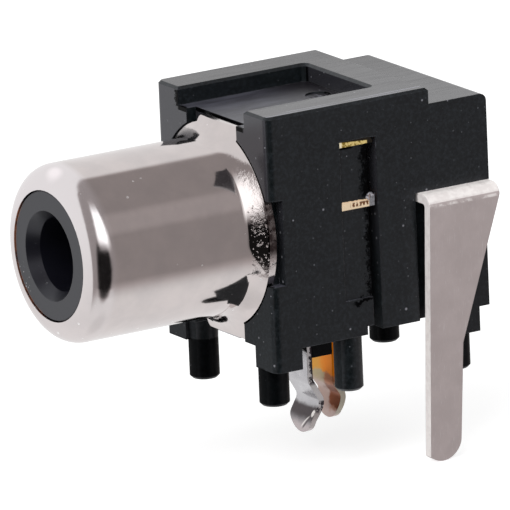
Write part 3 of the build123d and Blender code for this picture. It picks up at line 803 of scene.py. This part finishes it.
def contact_tin():
    """The ground contact: bright tin, with a band of painted shade across the dipped end of its tail, and
    painted reflections on it.
    """
    dip, dip_share = (-9.75, -10.35), 0.9
    shade_band_top, shade_band_bottom = (-9.25, -9.45), (-10.38, -9.75)
    side_part, side_height = (0.6, 0.8), (-9.2, -9.6)
    pale_side, coppery_side = (0.92, 0.88, 0.89), (0.60, 0.54, 0.53)

    skin = Finish("contact_tin")
    wander = skin.patches(skin.place, scale=2.2, roughness=0.6, low=0.2, high=0.8, start=-0.05, end=0.05)
    level = skin.plus(skin.height, wander)
    dipped = skin.times(skin.ramp(level, *dip), dip_share)
    # Painted shade: a dark band across the tail's tilted lower part
    painted_shade_band = skin.times(skin.ramp(level, *shade_band_top), skin.ramp(level, *shade_band_bottom))
    # Painted reflections: a streak of light, a dark line and a bright spot
    glint, dark_line = tip_glints(skin)
    side = skin.ramp(skin.right, *side_part)
    sheared = skin.mix(skin.ramp(level, *side_height), pale_side, coppery_side)
    base = satin_tin(skin, (0.58, 0.57, 0.59), (0.48, 0.47, 0.49))
    base = skin.coated(base,
                       (dipped, (0.52, 0.455, 0.46)),
                       (painted_shade_band, (0.085, 0.072, 0.076)),
                       (dark_line, (0.10, 0.085, 0.09)),
                       (glint, (0.98, 0.93, 0.90)),
                       (side, sheared),
                       (dark_edge_crumbs(skin, side), (0.045, 0.035, 0.045)))
    skin.give(Base_Color=base,
              Metallic=skin.between(side, 0.9, 0.2),
              Roughness=skin.patches(skin.place, scale=2.5, high=0.75, start=0.17, end=0.28),
              Normal=satin_grain(skin, 0.06))
    return skin.material


def tail_colour(skin):
    """The signal contact's sheet: orange gold, and a tail dipped in pale and coppery tin."""
    yellow_gold, orange_gold, gold_turns = (0.74, 0.34, 0.045), (0.88, 0.25, 0.006), (-0.3, 0.4)
    olive_tin, pink_tin, tin_turns = (0.46, 0.37, 0.22), (0.46, 0.33, 0.29), (-8.1, -8.7)
    blot_width, blot_height = (0.05, 0.95), (-9.65, -8.45)
    rusty_right, pale_tip = (0.05, 0.35), (-9.6, -9.95)

    wander = skin.patches(skin.place, scale=2.0, detail=4.0, roughness=0.65, low=0.2, high=0.8,
                          start=-0.16, end=0.16)
    level = skin.plus(skin.height, wander)
    aside = skin.plus(skin.across, wander)
    gold = skin.mix(skin.ramp(aside, *gold_turns), yellow_gold, orange_gold)
    tin = skin.mix(skin.ramp(level, *tin_turns), olive_tin, pink_tin)
    blot = skin.times(skin.band(aside, *blot_width, soft=0.12), skin.band(level, *blot_height, soft=0.12))
    dipped = skin.coated(tin,
                         (skin.ramp(aside, *rusty_right), (0.42, 0.16, 0.07)),
                         (blot, (0.22, 0.060, 0.020)),
                         (skin.ramp(level, *pale_tip), (0.50, 0.38, 0.35)))
    return skin.mix(skin.ramp(level, tail_dip + 0.1, tail_dip - 0.1), gold, dipped)


def cut_colour(skin, lower):
    """The bars' cut ends: olive and cream above, and pale with dark stamped spots below."""
    dark_olive, light_olive = (0.28, 0.18, 0.03), (0.86, 0.66, 0.26)
    spot_pitch = 34.0                # radians a mm
    spot_edge, spot_height, spot_start = (-0.35, 0.15), (0.96, 1.15), (4.25, 4.4)

    along, height = skin.along, skin.height
    mottled = skin.patches(skin.place, scale=6.0, detail=2.0, roughness=0.6, low=0.42, high=0.56)
    cream = skin.ramp(along, bars_front + 0.16, bars_front + 0.08)
    stamped = skin.math("SINE", skin.times(along, spot_pitch))
    uneven = skin.patches(skin.place, scale=5.0, detail=2.0, roughness=0.6, start=-0.9, end=1.1)
    spots = skin.ramp(skin.plus(stamped, uneven), *spot_edge)
    spots = skin.times(spots, skin.band(height, *spot_height, soft=0.03), skin.ramp(along, *spot_start))
    return skin.coated(skin.mix(mottled, dark_olive, light_olive),
                       (cream, (1.0, 0.88, 0.62)),
                       (lower, (0.98, 0.77, 0.54)),
                       (spots, (0.20, 0.085, 0.04)))


def gold_and_tin():
    """The signal contact: cream and olive cut ends, orange gold sheet, and a tail dipped in coppery tin."""
    # Bounds of each place: a part is of the true normal, and the others are mm along an axis
    cut_part, cut_height = (0.7, 0.9), (-3.0, -2.0)
    side_part, side_height = (0.5, 0.8), (-8.2, -8.6)
    upset_part, upset_right = (0.5, 0.8), (4.60, 4.65)
    edge_slope, edge_start, edge_soft = 0.07, 4.33, (-0.01, 0.03)
    shade_black, ash = (0.018, 0.014, 0.010), (0.50, 0.50, 0.54)

    skin = Finish("contact_gold")
    across, along, height = skin.across, skin.along, skin.height
    lower = skin.ramp(height, bars_middle + 0.05, bars_middle - 0.05)
    cut_end = skin.ramp(skin.math("ABSOLUTE", skin.right), *cut_part)
    cut_end = skin.times(cut_end, skin.ramp(height, *cut_height))
    upset = skin.band(height, lower_bar_top - 0.01, lower_bar_top + 0.22, soft=0.01)
    upset = skin.times(skin.ramp(skin.up, *upset_part), upset, skin.ramp(across, *upset_right))
    cut_end = skin.most(cut_end, upset)
    tail_side = skin.times(skin.ramp(skin.right, *side_part), skin.ramp(height, *side_height))

    # Painted shade: the upper bar's dark top edge, which falls a little towards the slot, and both bars' ends
    # there
    falling = skin.less(skin.plus(height, skin.times(along, edge_slope)), edge_start)
    shade = skin.most(skin.ramp(falling, *edge_soft), skin.ramp(along, slot_front - 0.08, slot_front))
    ashen = skin.times(lower, skin.noise(skin.place, scale=9.0, roughness=0.6))
    base = skin.coated(tail_colour(skin),
                       (tail_side, (0.62, 0.56, 0.46)),
                       (cut_end, cut_colour(skin, lower)),
                       (skin.times(shade, cut_end), skin.mix(ashen, shade_black, ash)))
    dull = skin.most(cut_end, tail_side)
    grain = skin.noise(skin.place, scale=8.0)
    skin.give(Base_Color=base,
              Metallic=skin.between(dull, 0.80, 0.15),
              Roughness=skin.between(cut_end, 0.32, 0.55),
              Specular_IOR_Level=0.1,
              Normal=skin.bump(grain, strength=0.2, depth=0.006, normal=skin.rounded(0.05)))
    return skin.material


def grey_burr():
    """The torn grey burr where the lower bar was cut off."""
    skin = Finish("burr_grey")
    swirl = skin.patches(skin.place, scale=9.0, roughness=0.7, low=0.40, high=0.60)
    torn = skin.noise(skin.place, scale=9.0, detail=4.0, roughness=0.7)
    skin.give(Base_Color=skin.mix(swirl, (0.02, 0.02, 0.025), (0.46, 0.45, 0.49)),
              Metallic=0.1,
              Roughness=0.5,
              Normal=skin.bump(torn, strength=0.8, depth=0.05, normal=None))
    return skin.material


def dress(node, material):
    """Give a CAD node its finish."""
    mesh = nodes[node].data
    mesh.materials.clear()
    mesh.materials.append(material)


def add_piece(name, mesh, material):
    """A piece of the scene that rides on the part, with the given finish as its material."""
    piece = bpy.data.objects.new(name, mesh)
    mesh.materials.append(material)
    bpy.context.scene.collection.objects.link(piece)
    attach(piece, "root")


def finished_mesh(name, body):
    """The mesh of a body that was built face by face."""
    mesh = bpy.data.meshes.new(name)
    body.to_mesh(mesh)
    body.free()
    return mesh


def cut_strip(name, left, front, rear, low, high, steps=24, seed=11):
    """The upset top edge of the lower bar: a thin strip with a wavy, rounded top."""
    random = Random(seed)
    right = housing_right - 0.004
    corner = 0.02
    least, wave, taper = 0.85, 0.3, 0.35
    body = bmesh.new()
    rings = []
    for step in range(steps + 1):
        share = step / steps
        y = front + (rear - front) * share
        top = low + (high - low) * (least + wave * random.random()) * (1 - taper * share)
        outline = [(left, low), (right, low), (right, top - corner), (right - corner, top), (left, top)]
        rings.append([body.verts.new(Vector((x, y, z)) * MM) for x, z in outline])
    for first, second in zip(rings, rings[1:]):
        for i in range(len(first)):
            j = (i + 1) % len(first)
            body.faces.new((first[i], first[j], second[j], second[i]))
    body.faces.new(rings[0][::-1])
    body.faces.new(rings[-1])
    bmesh.ops.recalc_face_normals(body, faces=body.faces)
    return finished_mesh(name, body)


def torn_lump(name, centre, size, seed, roughness, waves=9, pitch=2.2):
    """A small torn lump of metal: a ball pushed about at random and flattened."""
    random = Random(seed)
    body = bmesh.new()
    bmesh.ops.create_icosphere(body, subdivisions=3, radius=1.0)
    ripples = []
    for _ in range(waves):
        direction = Vector((random.gauss(0, 1), random.gauss(0, 1), random.gauss(0, 1)))
        ripples.append((direction * pitch, random.uniform(0, 2 * pi)))
    for vertex in body.verts:
        push = sum(sin(ripple.dot(vertex.co) + phase) for ripple, phase in ripples) / waves
        grown = vertex.co * (1 + roughness * push)
        vertex.co = Vector([centre[i] + grown[i] * size[i] / 2 for i in range(3)]) * MM
    mesh = finished_mesh(name, body)
    for face in mesh.polygons:
        face.use_smooth = True
    return mesh


make_camera()
make_world()
make_lamp()
make_floor()

dress("moulded_housing", moulded_plastic())
dress("insulator", insulator_plastic())
dress("plated_barrel", nickel())
dress("ground_contact", contact_tin())
dress("side_terminal", blade_tin())
gold = gold_and_tin()
dress("signal_contact", gold)

# The two small forms at the lower bar's cut end, just inside the housing's side
inside_right = housing_right - 0.09
burr_centre = (inside_right, 5.42, 1.21)
burr_size = (0.24, 0.46, 0.44)
burr = torn_lump("cut_burr", burr_centre, burr_size, seed=9, roughness=0.8)
add_piece("cut_burr", burr, grey_burr())
strip_front, strip_rear = bars_front + 0.01, slot_front - 0.12
strip_top = lower_bar_top + 0.12
strip = cut_strip("cut_strip", inside_right, strip_front, strip_rear, lower_bar_top, strip_top)
add_piece("cut_strip", strip, gold)

scene = bpy.context.scene
scene.view_settings.view_transform = "Standard"
